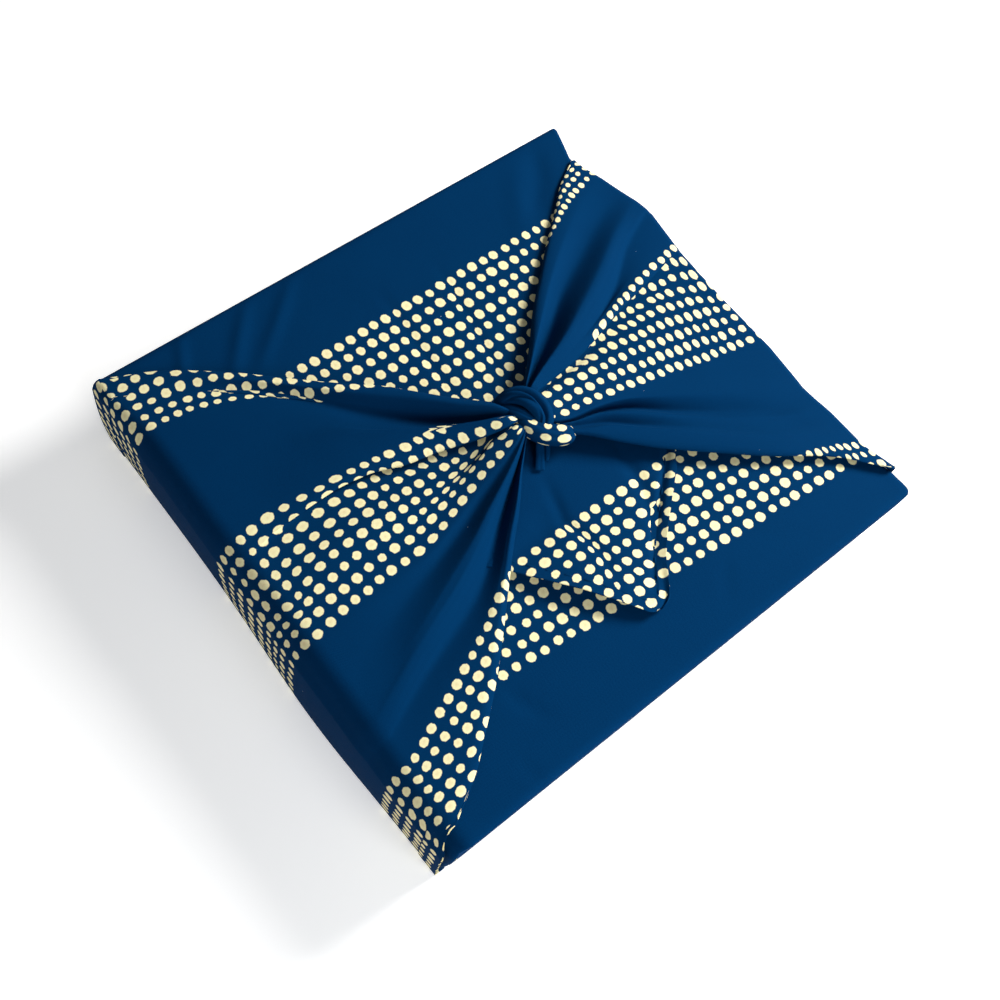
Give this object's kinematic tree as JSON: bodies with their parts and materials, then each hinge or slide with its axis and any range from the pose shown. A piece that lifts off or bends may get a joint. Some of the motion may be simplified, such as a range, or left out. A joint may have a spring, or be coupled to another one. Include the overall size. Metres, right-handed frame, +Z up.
{
  "type": "furoshiki wrap",
  "caption": "Flat square parcel wrapped in a square of dotted navy cotton, its corners folded over and gathered into a small knot on top.",
  "frame": {"origin": "on the face it rests on, under the middle of the parcel", "axes": "+Z up, away from the resting face; +X along the two tied corners of the cloth; +Y towards the corner that is folded over last"},
  "size_m": [0.2381, 0.2268, 0.0593],
  "materials": {
    "cotton": "matt printed cotton, navy with cream dots"
  },
  "bodies": {
    "root": {"furoshiki_cloth": "cotton"}
  },
  "joints": []
}
